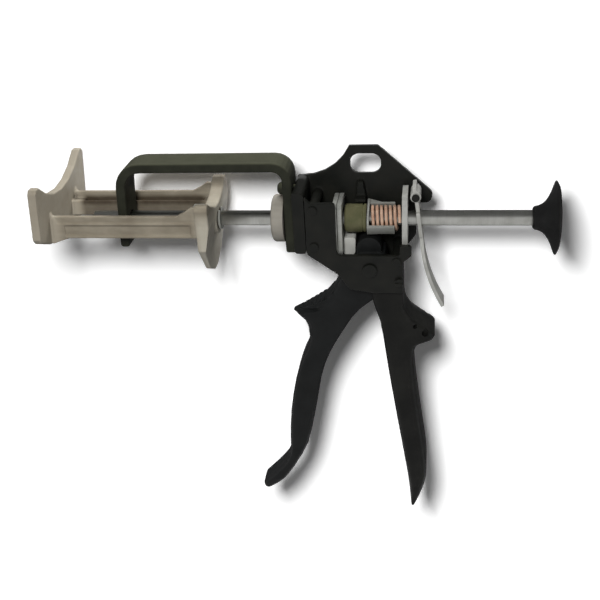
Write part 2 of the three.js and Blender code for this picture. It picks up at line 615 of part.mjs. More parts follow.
function trigger() {
  const drop = (line, dx = 0) => line.map(([x, share]) => [x + dx, PIVOT_Z - share * TRIGGER_L]);
  const toe = PIVOT_Z - TRIGGER_L;
  const hookZ = PIVOT_Z - HOOK_SHARE * TRIGGER_L;
  const blade = handle(smooth(drop(TRIGGER_FRONT), 38), smooth(drop(TRIGGER_REAR), 22),
    (z) => TRIGGER_W / 2 - 0.2 * Math.max(0, toe + 8 - z), TRIGGER_EDGE,
    (z) => Math.max(TRIGGER_EDGE, TRIGGER_W * 0.46 - 0.35 * Math.abs(z - hookZ)));
  const head = rodY(2 * HEAD_R, -TRIGGER_W / 2 + 1, TRIGGER_W / 2 - 1, HEAD_X, HEAD_Z, 36);
  const bosses = rodY(13, -IN + RUN, IN - RUN, PIVOT_X, PIVOT_Z, 32);
  const back = drop(TRIGGER_REAR.filter(([, share]) => share > 0.22 && share < 0.86));
  const channel = sideSlab(smooth([
    ...back.map(([x, z], i) => [x + (i > 0 && i < back.length - 1 ? -CHANNEL_DEPTH : 1), z]),
    ...back.map(([x, z]) => [x + 12, z + 2]).reverse(),
  ], 44), -TRIGGER_W / 2 + CHANNEL_WALL, TRIGGER_W / 2 - CHANNEL_WALL);
  return cut(join(blade, head, bosses), channel,
    rodY(PIVOT_D + 2 * RUN, -OUT, OUT, PIVOT_X, PIVOT_Z, 28));
}

const PIN_HEAD_D = 7.4;
const CLIP_D = 11;
const CLIP_T = 1;

function triggerPin() {
  const headEnd = -OUT - 0.1;
  const tail = OUT + 3;
  const shank = rodY(PIVOT_D, headEnd - 0.5, tail, PIVOT_X, PIVOT_Z, 28);
  const head = rodY(PIN_HEAD_D, headEnd - 1.4, headEnd, PIVOT_X, PIVOT_Z, 28);
  const grooveAt = OUT + SEAT;
  const groove = cut(rodY(PIVOT_D + 2, grooveAt, grooveAt + CLIP_T + 0.4, PIVOT_X, PIVOT_Z, 28),
    rodY(PIVOT_D - 1.6, grooveAt - 1, grooveAt + CLIP_T + 2, PIVOT_X, PIVOT_Z, 28));
  return cut(join(shank, head), groove);
}

// Retaining clip in the pin's groove, open on one side.
function pinClip() {
  const y0 = OUT + SEAT + 0.2;
  const hole = PIVOT_D / 2 - 0.8 + SEAT;
  const ring = cut(rodY(CLIP_D, y0, y0 + CLIP_T, PIVOT_X, PIVOT_Z, 32),
    rodY(2 * hole, y0 - 1, y0 + CLIP_T + 1, PIVOT_X, PIVOT_Z, 28));
  return cut(ring, box(PIVOT_X - hole + 0.4, PIVOT_X + hole - 0.4, y0 - 1, y0 + CLIP_T + 1, PIVOT_Z - CLIP_D, PIVOT_Z));
}

// ---------------------------------------------------------------- rear grip

const POCKET_W = TRIGGER_W + 1.6;

const GRIP_TOP_Z = CHEEK_BOTTOM_Z - SEAT;
// Front and rear lines of the grip: [x, share of GRIP_L below the frame].
const GRIP_FRONT = [
  [3, 0], [3.4, 0.039], [4.6, 0.072], [7, 0.12], [9, 0.194], [11.2, 0.316], [13.6, 0.431],
  [16.2, 0.553], [20.6, 0.753], [23, 0.871], [24, 0.953], [24.6, 1],
];
const GRIP_REAR = [
  [20, 0], [20.2, 0.055], [22.2, 0.102], [28.4, 0.142], [34.2, 0.169], [37.6, 0.19], [36.4, 0.202],
  [31.4, 0.213], [27.2, 0.235], [25.6, 0.279], [26, 0.357], [27.8, 0.479], [30.3, 0.614],
  [32.4, 0.722], [33.4, 0.797], [32.8, 0.871], [29.8, 0.943], [26.2, 1],
];

// Grip with a pocket at the top for the trigger's rear, and a root between the frame's walls.
function rearGrip() {
  const drop = (line) => line.map(([x, share]) => [x, GRIP_TOP_Z - share * GRIP_L]);
  const taperZ = GRIP_TOP_Z - 0.76 * GRIP_L;
  const body = handle(smooth(drop(GRIP_FRONT), 14), smooth(drop(GRIP_REAR), 36),
    (z) => GRIP_W / 2 - GRIP_TAPER * (Math.max(0, taperZ - z) / (0.24 * GRIP_L)) ** 2, GRIP_EDGE);
  const root = box(REAR_X - 3.8, REAR_X, -IN + SEAT, IN - SEAT, -46, -23);
  const pocket = sideSlab(filleted([
    [-2, CHEEK_BOTTOM_Z + 2], [-2, -62], [8, -59, 3], [15.6, -50, 3], [15.6, CHEEK_BOTTOM_Z + 2],
  ]), -POCKET_W / 2, POCKET_W / 2);
  return cut(join(body, root), pocket,
    rodY(GRIP_SCREW_D + 2 * SEAT, -OUT, OUT, GRIP_SCREW_X, GRIP_SCREW_Z, 20));
}

// ---------------------------------------------------------------- rod, carriage, knob

function pushRod() {
  const r = ROD_D / 2;
  const groove = YOKE_X + YOKE_T + SEAT;
  const ring = 0.7;
  return cut(turnedX([
    [ROD_TIP_X, 0], [ROD_TIP_X, r - ROD_CHAMFER], [ROD_TIP_X + ROD_CHAMFER, r],
    [groove, r], [groove, r - ring], [groove + 1.4, r - ring], [groove + 1.4, r],
    [ROD_END_X, r], [ROD_END_X, 0],
  ], 32), rodX(SCREW_D + 2 * SEAT, ROD_END_X - 16, ROD_END_X + 1, 0, 0, 20));
}

// Front plate of the carriage: two horns with a wide hollow between them.
function saddleOutline(width, top, dip, below) {
  const half = width / 2;
  const tip = 5;
  const span = half - tip;
  const depth = top - dip;
  const r = (span * span + depth * depth) / (2 * depth);
  const sweep = THREE.MathUtils.radToDeg(Math.asin(Math.min(1, span / r)));
  const hollow = arc(0, dip + r, r, -90 + sweep, -90 - sweep);
  return [...below(half), point(half, top - 2), point(half - 1.5, top), ...hollow,
    point(-half + 1.5, top), point(-half, top - 2)];
}

function carriage() {
  const railOut = CARRIAGE_W / 2;
  const railIn = railOut - RAIL_W;
  const ribIn = railOut - RIB_INSET - RIB_T;
  const plateFoot = RAIL_BOTTOM_Z - SADDLE_DROP;
  const plate = crossSlab(saddleOutline(SADDLE_W, SADDLE_TOP_Z, SADDLE_DIP_Z, (half) => [
    point(-half + 0.3, 1.5), point(-half + 2.4, -1.2), point(-railOut - 1, plateFoot),
    point(railOut + 1, plateFoot), point(half - 2.4, -1.2), point(half - 0.3, 1.5),
  ]), SADDLE_X, SADDLE_X + SADDLE_T, [], 0.6);
  const leant = new THREE.Matrix4().set(
    1, 0, SADDLE_LEAN, -SADDLE_LEAN * SADDLE_TOP_Z, 0, 1, 0, 0, 0, 0, 1, 0, 0, 0, 0, 1);
  const front = solid(geometryOf(plate).applyMatrix4(leant));
  const shield = crossSlab(saddleOutline(YOKE_W, YOKE_TOP_Z, YOKE_DIP_Z, (half) => [
    point(-half, YOKE_SIDE_Z), point(-half * 0.55, YOKE_POINT_Z + 5.5), point(-3, YOKE_POINT_Z),
    point(3, YOKE_POINT_Z), point(half * 0.55, YOKE_POINT_Z + 5.5), point(half, YOKE_SIDE_Z),
  ]), YOKE_X, YOKE_X + YOKE_T, [circle(0, 0, ROD_D / 2 + SEAT)], 0.8);
  const yokeRear = YOKE_X + YOKE_T;
  const taper = sideSlab([
    point(yokeRear, YOKE_SIDE_Z + 12), point(YOKE_X + YOKE_LIP_T + 1, YOKE_SIDE_Z - 4),
    point(YOKE_X + YOKE_LIP_T, YOKE_POINT_Z - 1), point(yokeRear + 5, YOKE_POINT_Z - 1),
    point(yokeRear + 5, YOKE_SIDE_Z + 12),
  ], -YOKE_W, YOKE_W);
  const hub = rodX(ROD_D + 8, YOKE_X + 0.5, yokeRear, 0, 0, 32);
  const yoke = cut(join(cut(shield, taper), hub), rodX(ROD_D + 2 * SEAT, YOKE_X - 1, yokeRear + 1));
  const railFront = SADDLE_X + SADDLE_T - 1 - SADDLE_LEAN * (SADDLE_TOP_Z - RAIL_BOTTOM_Z);
  const ribFront = BAIL_FRONT_X + BAIL_T + 2;
  const ribTop = RAIL_TOP_Z + RIB_H;
  const rails = [-1, 1].flatMap((side) => {
    const y = (a, b) => (side > 0 ? [a, b] : [-b, -a]);
    const rail = box(railFront, YOKE_X + 1, ...y(railIn, railOut), RAIL_BOTTOM_Z, RAIL_TOP_Z);
    const outer = box(railFront + 9, YOKE_X - 4, ...y(railOut - RAIL_OUTER_RECESS, railOut + 1),
      RAIL_BOTTOM_Z + 1.4, RAIL_TOP_Z - 1.2);
    const gutter = box(railFront + 9, YOKE_X - 4, ...y(railIn + GUTTER_LIP, ribIn),
      RAIL_TOP_Z - GUTTER_DEPTH, RAIL_TOP_Z + 1);
    const rib = sideSlab([
      point(ribFront, RAIL_TOP_Z - 0.5), point(YOKE_X + 1, RAIL_TOP_Z - 0.5), point(YOKE_X + 1, YOKE_TOP_Z - 2.5),
      point(YOKE_X - 3, YOKE_TOP_Z - 2.5), point(YOKE_X - 3 - RIB_H, ribTop + 2), point(YOKE_X - 7 - RIB_H, ribTop),
      point(ribFront + 2, ribTop),
    ], ...y(ribIn, ribIn + RIB_T));
    const brace = sideSlab([
      point(railFront, plateFoot), point(railFront + 2, plateFoot), point(railFront + 12, RAIL_BOTTOM_Z + 0.5),
      point(railFront + 9, RAIL_BOTTOM_Z + 1), point(railFront, SADDLE_DIP_Z - 2),
    ], ...y(railOut - 2.4, railOut));
    return [cut(rail, outer, gutter), rib, brace];
  });
  return join(front, yoke, ...rails);
}

// Hexagonal nut that clamps the yoke from the front.
function yokeNut() {
  const r = NUT_AF / Math.sqrt(3);
  const x1 = YOKE_X - SEAT;
  return crossSlab(circle(0, 0, r, 6), x1 - NUT_T, x1, [circle(0, 0, ROD_D / 2 + SEAT, 32)]);
}

// Snap ring behind the yoke, in the rod's groove.
function yokeRing() {
  const x0 = YOKE_X + YOKE_T + SEAT + 0.2;
  const ring = crossSlab(circle(0, 0, ROD_D / 2 + 2, 32), x0, x0 + 1, [circle(0, 0, ROD_D / 2 - 0.7 + SEAT, 32)]);
  return cut(ring, box(x0 - 1, x0 + 2, -2.4, 2.4, 0, ROD_D));
}

// Trumpet-shaped palm knob.
function knob() {
  const r = KNOB_D / 2;
  const hub = HUB_D / 2;
  const x0 = KNOB_X;
  const x1 = KNOB_REAR_X;
  const flare = smooth([
    [x0 + 0.9, hub], [x0 + 2.6, hub + 0.9], [x0 + 5.4, hub + 3.6], [x0 + 7.6, hub + 6.8],
    [x0 + 9.4, hub + 9.8], [x0 + 10.6, r - 0.9], [x0 + 11.2, r],
  ], 10).map((p) => [p.x, p.y]);
  const bore = ROD_D / 2 + SEAT;
  return turnedX([
    [x0, bore], [x0, hub - 0.8], ...flare, [x1 - 1.2, r - 0.1], [x1 - 0.2, r - 1.2], [x1, r - 2.4],
    [x1, SCREW_HEAD_D / 2 + SEAT], [x1 - SCREW_HEAD_H, SCREW_D / 2 + SEAT],
    [ROD_END_X + SEAT, SCREW_D / 2 + SEAT], [ROD_END_X + SEAT, bore], [x0, bore],
  ], 36);
}

const SCREW_HEAD_D = 8;
const SCREW_HEAD_H = 2.6;

// Countersunk screw from the palm face into the rod's end.
function knobScrew() {
  const x1 = KNOB_REAR_X - 0.2;
  const body = turnedX([
    [ROD_END_X - 13, 0], [ROD_END_X - 13, SCREW_D / 2 - 0.6], [ROD_END_X - 12.4, SCREW_D / 2],
    [x1 - SCREW_HEAD_H + 0.2, SCREW_D / 2], [x1 - 0.3, SCREW_HEAD_D / 2 - 0.3], [x1, SCREW_HEAD_D / 2 - 0.3], [x1, 0],
  ], 28);
  const cross = (w, h) => box(x1 - 1.6, x1 + 1, -w / 2, w / 2, -h / 2, h / 2);
  return cut(body, cross(0.9, 4.4), cross(4.4, 0.9));
}

// Cross screw that holds the grip's root between the frame's walls.
function gripScrew() {
  const x = GRIP_SCREW_X;
  const headEnd = -OUT - 0.1;
  const head = rodY(GRIP_HEAD_D, headEnd - GRIP_HEAD_H, headEnd, x, GRIP_SCREW_Z, 24);
  const shank = rodY(GRIP_SCREW_D, headEnd - 0.5, OUT + 2.6, x, GRIP_SCREW_Z, 20);
  return cut(join(head, shank),
    box(x - 2.2, x + 2.2, headEnd - GRIP_HEAD_H - 1, headEnd - GRIP_HEAD_H + 0.8, GRIP_SCREW_Z - 0.45, GRIP_SCREW_Z + 0.45));
}

function gripNut() {
  const x = GRIP_SCREW_X;
  const y0 = OUT + 0.1;
  return cut(rodY(6.4, y0, y0 + 2.2, x, GRIP_SCREW_Z, 6),
    rodY(GRIP_SCREW_D + 2 * SEAT, y0 - 1, y0 + 4, x, GRIP_SCREW_Z, 20));
}

// ---------------------------------------------------------------- assembly

const gun = new THREE.Group();
gun.name = 'caulking_gun';
gun.position.set(0, -(IN + OUT) / 2, -SLOT_Z);

function add(name, body, material) {
  const mesh = new THREE.Mesh(geometryOf(body), material);
  mesh.name = name;
  gun.add(mesh);
}

add('frame', frame(), blackCast);
add('side_cheek', sideCheek(), blackCast);
POSTS.forEach((post, i) => add(`cheek_rivet_${i + 1}`, cheekRivet(post), blackCast));
add('bail', bail(), blackPaint);
add('bail_bolt', bailBolt(), blackPaint);
add('guide_collar', guideCollar(), beigePlastic);
add('drive_plate_front', drivePlate(FRONT_PLATE_X), zincSteel);
add('drive_plate_rear', drivePlate(PLATE_REAR_X - PLATE_T), zincSteel);
add('thrust_shoe', thrustShoe(), zincSteel);
add('return_spring', returnSpring(), zincSteel);
add('guide_bush', guideBush(), goldBrass);
add('spring_bracket', springBracket(), zincSteel);
add('brake_spring', brakeSpring(), copperWire);
add('brake_plate', brakePlate(), zincSteel);
add('release_lever', releaseLever(), zincSteel);
add('lever_pin', leverPin(), zincSteel);
add('trigger', trigger(), blackCast);
add('trigger_pin', triggerPin(), blackPaint);
add('trigger_pin_clip', pinClip(), zincSteel);
add('rear_grip', rearGrip(), blackPlastic);
add('grip_screw', gripScrew(), blackPaint);
add('grip_nut', gripNut(), zincSteel);
add('push_rod', pushRod(), rodSteel);
add('carriage', carriage(), beigePlastic);
add('yoke_nut', yokeNut(), zincSteel);
add('yoke_ring', yokeRing(), zincSteel);
add('knob', knob(), blackPlastic);
add('knob_screw', knobScrew(), zincSteel);

const root = new THREE.Group();
root.add(gun);
export default root;
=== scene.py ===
"""Looks of the friction-drive caulking gun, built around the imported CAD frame. Metres."""
import json
import math

import bmesh
import bpy
from mathutils import Matrix, Vector

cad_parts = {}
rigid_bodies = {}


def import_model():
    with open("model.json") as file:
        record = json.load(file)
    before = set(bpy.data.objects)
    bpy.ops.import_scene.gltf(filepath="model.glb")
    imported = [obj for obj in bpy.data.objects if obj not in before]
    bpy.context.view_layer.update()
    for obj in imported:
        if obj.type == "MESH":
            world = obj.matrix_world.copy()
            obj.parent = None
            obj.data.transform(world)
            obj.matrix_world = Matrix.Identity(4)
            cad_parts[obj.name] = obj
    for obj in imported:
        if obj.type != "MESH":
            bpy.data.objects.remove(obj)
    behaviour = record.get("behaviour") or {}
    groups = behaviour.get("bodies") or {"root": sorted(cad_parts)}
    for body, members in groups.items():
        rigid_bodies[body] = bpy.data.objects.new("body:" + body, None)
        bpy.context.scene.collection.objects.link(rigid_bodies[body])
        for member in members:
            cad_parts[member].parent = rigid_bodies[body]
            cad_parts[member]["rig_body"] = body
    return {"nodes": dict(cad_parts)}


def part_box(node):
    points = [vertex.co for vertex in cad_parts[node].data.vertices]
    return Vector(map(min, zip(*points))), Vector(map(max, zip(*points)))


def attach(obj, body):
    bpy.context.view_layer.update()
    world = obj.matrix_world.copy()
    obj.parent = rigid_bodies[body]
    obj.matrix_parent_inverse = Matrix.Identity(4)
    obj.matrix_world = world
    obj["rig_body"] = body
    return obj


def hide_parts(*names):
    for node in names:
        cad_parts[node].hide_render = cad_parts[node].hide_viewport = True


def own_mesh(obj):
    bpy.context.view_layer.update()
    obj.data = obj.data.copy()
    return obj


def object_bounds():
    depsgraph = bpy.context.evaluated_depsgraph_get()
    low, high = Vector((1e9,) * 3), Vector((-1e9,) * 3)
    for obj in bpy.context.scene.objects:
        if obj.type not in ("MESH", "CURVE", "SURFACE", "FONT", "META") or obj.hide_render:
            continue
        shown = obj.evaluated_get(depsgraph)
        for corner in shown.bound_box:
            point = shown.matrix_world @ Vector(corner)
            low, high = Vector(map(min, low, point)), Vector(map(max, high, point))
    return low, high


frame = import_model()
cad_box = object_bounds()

MM = 0.001
scene = bpy.context.scene
scene.view_settings.view_transform = "Standard"
nodes = frame["nodes"]
body_of_node = {name: obj["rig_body"] for name, obj in nodes.items()}

ROD_AXIS = sum((Vector(corner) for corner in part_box("push_rod")), Vector()) / 2
YOKE_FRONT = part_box("yoke_nut")[1][0]
CARRIAGE_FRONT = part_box("carriage")[0][0]
BAIL_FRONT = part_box("bail")[0][0]


def linear(hexcode):
    """Linear colour of an sRGB hex code, with alpha 1."""
    channels = [int(hexcode[i:i + 2], 16) / 255 for i in (0, 2, 4)]
    return [c / 12.92 if c < 0.04045 else ((c + 0.055) / 1.055) ** 2.4 for c in channels] + [1.0]


def link_object(name, data):
    """A new object of the data, linked to the scene."""
    obj = bpy.data.objects.new(name, data)
    scene.collection.objects.link(obj)
    return obj


def mesh_from(bm, name):
    """A new mesh of the bmesh, which is freed."""
    mesh = bpy.data.meshes.new(name)
    bm.to_mesh(mesh)
    bm.free()
    return mesh


def calculated(tree, operation, *values):
    """The result of a math node whose values are sockets or numbers."""
    node = tree.nodes.new("ShaderNodeMath")
    node.operation = operation
    for socket, value in zip(node.inputs, values):
        if isinstance(value, (int, float)):
            socket.default_value = value
        else:
            tree.links.new(value, socket)
    return node.outputs[0]


# ------------------------------------------------------------------ camera, light and stage

CAMERA_PLACE = (0.0344, -0.4484, 0.1595)
CAMERA_AZIMUTH, CAMERA_ELEVATION, CAMERA_ROLL = 9.34, 28.0, -3.67      # degrees
CAMERA_LENS, SENSOR_WIDTH = 54, 36                                     # millimetres
CAMERA_CLIP = (0.01, 20)

KEY_PLACE = (-0.060, -0.430, 0.258)
BACK_KEY_PLACE = (0.0, 0.34, 0.42)
KEY_RADIUS = 0.075
KEY_POWER, BACK_KEY_POWER = 4.6, 3.8
WORLD_LEVEL = 0.12                         # the world's light on the gun; its background is 1

TABLE_Y = cad_box[1].y + 0.8 * MM          # just behind the gun's right side
TABLE_HALF = 2.5
FLOOR_ALBEDO = 0.90                        # how much light the table throws back on the gun
FLOOR_WHITE = 0.93                         # its colour in view, where it is nearest to the key lamp
NEAR_TABLE = 30 * MM

CARD_Y = cad_box[1].y + 0.4 * MM           # between the gun and the table
CARDS = (                                  # name, place, tilt in degrees, half sizes, brightness
    ("flag_front", (0.1, -1.3, -0.20), 90, 2.2, 0.70, 0.55),
    ("flag_low", (0.1, -0.64, -0.55), 0, 2.2, 0.66, 0.55),
    ("flag_high", (-0.03, -0.28, 0.13), 0, 0.30, 0.08, 0.30),
    ("flag_top", (-0.03, -0.09, 0.13), 0, 0.30, 0.11, 0.12),
    ("flag_back", (-0.03, CARD_Y, 0.0), 90, 0.30, 0.26, 0.12))


def make_camera():
    data = bpy.data.cameras.new("camera")
    data.lens = CAMERA_LENS
    data.sensor_width = SENSOR_WIDTH
    data.clip_start, data.clip_end = CAMERA_CLIP
    camera = link_object("camera", data)
    turn = (Matrix.Rotation(math.radians(CAMERA_AZIMUTH), 4, "Z")
            @ Matrix.Rotation(math.radians(90 - CAMERA_ELEVATION), 4, "X")
            @ Matrix.Rotation(math.radians(CAMERA_ROLL), 4, "Z"))
    camera.matrix_world = Matrix.Translation(CAMERA_PLACE) @ turn
    scene.camera = camera


def background_ray(tree):
    """1 for the rays that see the background: camera, glossy and transmission rays."""
    path = tree.nodes.new("ShaderNodeLightPath")
    seen = path.outputs["Is Camera Ray"]
    for name in ("Is Glossy Ray", "Is Transmission Ray"):
        seen = calculated(tree, "MAXIMUM", seen, path.outputs[name])
    return seen


def short_ray(tree):
    """1 for rays that have come less than NEAR_TABLE, as those off the gun's own right side."""
    path = tree.nodes.new("ShaderNodeLightPath")
    return calculated(tree, "LESS_THAN", path.outputs["Ray Length"], NEAR_TABLE)


def make_world():
    """White where it is seen, and a weak even light on the gun."""
    world = bpy.data.worlds.new("studio")
    world.use_nodes = True
    tree = world.node_tree
    background = tree.nodes["Background"]
    background.inputs["Color"].default_value = (1, 1, 1, 1)
    level = calculated(tree, "MULTIPLY_ADD", background_ray(tree), 1 - WORLD_LEVEL, WORLD_LEVEL)
    tree.links.new(level, background.inputs["Strength"])
    scene.world = world


def make_lamp(name, place, power):
    """A soft round lamp that lights near and far pieces alike, and that gloss doesn't mirror."""
    bulb = bpy.data.lights.new(name, "POINT")
    bulb.shadow_soft_size = KEY_RADIUS
    bulb.use_nodes = True
    tree = bulb.node_tree
    even = tree.nodes.new("ShaderNodeLightFalloff")
    even.inputs["Strength"].default_value = power
    tree.links.new(even.outputs["Constant"], tree.nodes["Emission"].inputs["Strength"])
    lamp = link_object(name, bulb)
    lamp.location = place
    lamp.visible_glossy = False


def grid_plane(name, half_x, half_y):
    """A flat rectangle round the origin."""
    bm = bmesh.new()
    bmesh.ops.create_grid(bm, x_segments=1, y_segments=1, size=1)
    bmesh.ops.scale(bm, vec=(half_x, half_y, 1), verts=bm.verts)
    return link_object(name, mesh_from(bm, name))


def empty_material(name):
    """A material without nodes, and its node tree."""
    material = bpy.data.materials.new(name)
    material.use_nodes = True
    material.node_tree.nodes.clear()
    return material, material.node_tree


def put_out(tree, shader, hidden):
    """Makes the shader the material's surface, clear where hidden is 1."""
    clear = tree.nodes.new("ShaderNodeBsdfTransparent")
    mix = tree.nodes.new("ShaderNodeMixShader")
    output = tree.nodes.new("ShaderNodeOutputMaterial")
    tree.links.new(hidden, mix.inputs[0])
    tree.links.new(shader, mix.inputs[1])
    tree.links.new(clear.outputs[0], mix.inputs[2])
    tree.links.new(mix.outputs[0], output.inputs["Surface"])


def make_floor():
    """The white table that the gun lies on with its right side; clear from behind.

    Its colour rises away from the key lamp as the lamp's light falls off, so that it is
    an even white all over, and only the shadows show on it. It lets the back lamp through,
    and short glossy rays, so that the gun's right side isn't black.
    """
    floor = grid_plane("floor", TABLE_HALF, TABLE_HALF)
    floor.location = (0, TABLE_Y, 0)
    floor.rotation_euler = (math.radians(90), 0, 0)
    material, tree = empty_material("white_table")
    geometry = tree.nodes.new("ShaderNodeNewGeometry")
    path = tree.nodes.new("ShaderNodeLightPath")

    reach = tree.nodes.new("ShaderNodeVectorMath")
    reach.operation = "DISTANCE"
    reach.inputs[1].default_value = KEY_PLACE
    tree.links.new(geometry.outputs["Position"], reach.inputs[0])
    seen_tone = calculated(tree, "MULTIPLY", reach.outputs["Value"],
                           FLOOR_WHITE / (TABLE_Y - KEY_PLACE[1]))
    tone = tree.nodes.new("ShaderNodeMix")
    tone.inputs[2].default_value = FLOOR_ALBEDO
    tree.links.new(background_ray(tree), tone.inputs[0])
    tree.links.new(seen_tone, tone.inputs[3])
    diffuse = tree.nodes.new("ShaderNodeBsdfDiffuse")
    tree.links.new(tone.outputs[0], diffuse.inputs["Color"])

    near_gloss = calculated(tree, "MULTIPLY", path.outputs["Is Glossy Ray"], short_ray(tree))
    hidden = calculated(tree, "MAXIMUM", geometry.outputs["Backfacing"],
                        path.outputs["Is Shadow Ray"])
    hidden = calculated(tree, "MAXIMUM", hidden, near_gloss)
    put_out(tree, diffuse.outputs[0], hidden)
    floor.data.materials.append(material)


def make_cards():
    """Cards darker than the white world that only reflections see, as in a product studio.

    They give the rod its dark upper and paler lower band. Rays shorter than NEAR_TABLE pass
    them, so that they don't darken the gun's right side.
    """
    for name, place, tilt, half_x, half_y, level in CARDS:
        card = grid_plane(name, half_x, half_y)
        card.location = place
        card.rotation_euler = (math.radians(tilt), 0, 0)
        material, tree = empty_material(name)
        glow = tree.nodes.new("ShaderNodeEmission")
        glow.inputs["Color"].default_value = (level, level, level, 1)
        put_out(tree, glow.outputs[0], short_ray(tree))
        card.data.materials.append(material)
        card.visible_camera = card.visible_diffuse = card.visible_shadow = False


# ------------------------------------------------------------------ materials

EDGE_START, EDGE_FULL = 1 - 0.015, 1 - 0.16    # cosines between which wear on an edge grows


class Finish:
    """One procedural material, built from node calls in object coordinates (metres)."""

    def __init__(self, name, **constants):
        self.material = bpy.data.materials.new(name)
        self.material.use_nodes = True
        self.tree = self.material.node_tree
        self.bsdf = self.tree.nodes["Principled BSDF"]
        self.place = self.node("TexCoord").outputs["Object"]
        for socket, value in constants.items():
            self.bsdf.inputs[socket.replace("_", " ")].default_value = value

    def node(self, kind, links=(), values=(), **settings):
        """A shader node: links and values fill its sockets, settings are its options."""
        node = self.tree.nodes.new("ShaderNode" + kind)
        for key, value in settings.items():
            setattr(node, key, value)
        for socket, value in dict(values).items():
            node.inputs[socket].default_value = value
        for socket, source in dict(links).items():
            self.tree.links.new(source, node.inputs[socket])
        return node

    def noise(self, scale, detail, stretch=(1, 1, 1), rough=0.55):
        moved = self.node("Mapping", {"Vector": self.place}, {"Scale": stretch}).outputs[0]
        return self.node("TexNoise", {"Vector": moved},
                         {"Scale": scale, "Detail": detail, "Roughness": rough}).outputs["Fac"]

    def cells(self, scale):
        return self.node("TexVoronoi", {"Vector": self.place}, {"Scale": scale}).outputs["Distance"]

    def spread(self, value, low, high, to_low=0.0, to_high=1.0):
        """The value moved from low..high to to_low..to_high, and held there."""
        return self.node("MapRange", {"Value": value}, {
            "From Min": low, "From Max": high, "To Min": to_low, "To Max": to_high}).outputs[0]

    def math(self, operation, *values):
        return calculated(self.tree, operation, *values)

    def mix(self, factor, a, b):
        """Colour a turned to b by the factor; each is a socket or a linear colour."""
        node = self.node("Mix", {0: factor}, data_type="RGBA")
        for i, value in ((6, a), (7, b)):
            if isinstance(value, (list, tuple)):
                node.inputs[i].default_value = value
            else:
                self.tree.links.new(value, node.inputs[i])
        return node.outputs[2]

    def edges(self, radius):
        """Near 1 along outer edges and corners, 0 on flat faces.

        It grows with the angle between the true normal and the one rounded off by radius.
        """
        soft = self.node("Bevel", values={"Radius": radius}, samples=6).outputs[0]
        true = self.node("NewGeometry").outputs["True Normal"]
        dot = self.node("VectorMath", {0: soft, 1: true}, operation="DOT_PRODUCT").outputs["Value"]
        return self.spread(dot, EDGE_START, EDGE_FULL)

    def colour(self, value):
        self.tree.links.new(value, self.bsdf.inputs["Base Color"])

    def roughness(self, value):
        self.tree.links.new(value, self.bsdf.inputs["Roughness"])

    def bump(self, *layers):
        """Layers of (height, depth in metres), one on the other."""
        normal = None
        for height, depth in layers:
            links = {"Height": height, **({"Normal": normal} if normal else {})}
            normal = self.node("Bump", links, {"Distance": depth, "Strength": 1.0}).outputs[0]
        self.tree.links.new(normal, self.bsdf.inputs["Normal"])
        return self.material


def black_casting(name, dark, pale, worn, rough, shine=0.22, painted_top_light=""):
    """Satin black paint on a die casting: orange peel, dusty patches, edges rubbed thin.

    painted_top_light is the colour of a painted light on faces that look up, which shows them lit
    from above.
    """
    f = Finish(name, Specular_IOR_Level=shine)
    patches = f.spread(f.noise(95, 5), 0.35, 0.72)
    grain = f.noise(2600, 3)
    scuffs = f.spread(f.noise(420, 6), 0.45, 0.70)
    wear = f.math("MULTIPLY", f.edges(0.5 * MM), scuffs)
    base = f.mix(patches, linear(dark), linear(pale))
    if painted_top_light:
        # painted light: faces that look up turn paler in blotches, as if lit from above
        up = f.node("SeparateXYZ", {0: f.node("TexCoord").outputs["Normal"]}).outputs[2]
        blotches = f.spread(f.noise(140, 5), 0.3, 0.6, 0.8, 1)
        paler_share = f.math("MULTIPLY", f.spread(up, 0.25, 0.85), blotches)
        base = f.mix(paler_share, base, linear(painted_top_light))
    f.colour(f.mix(f.math("MULTIPLY", wear, 0.45), base, linear(worn)))
    f.roughness(f.math("ADD", f.spread(patches, 0, 1, rough - 0.05, rough + 0.08),
                       f.spread(grain, 0.3, 0.7, -0.04, 0.04)))
    return f.bump((f.noise(700, 2), 0.03 * MM), (grain, 0.012 * MM))


def black_plastic(name, dark, pale, rough, shine=0.18, worn="343432"):
    """Moulded black plastic with a fine spark-eroded grain and rubbed edges."""
    f = Finish(name, Specular_IOR_Level=shine)
    scuffs = f.spread(f.noise(300, 5), 0.42, 0.7)
    rubbed = f.math("MULTIPLY", f.edges(0.8 * MM), scuffs)
    patches = f.spread(f.noise(70, 4), 0.38, 0.70)
    base = f.mix(patches, linear(dark), linear(pale))
    f.colour(f.mix(f.math("MULTIPLY", rubbed, 0.4), base, linear(worn)))
    f.roughness(f.spread(f.noise(160, 4), 0.3, 0.75, rough - 0.07, rough + 0.07))
    return f.bump((f.noise(900, 3), 0.02 * MM), (f.cells(2300), 0.014 * MM))


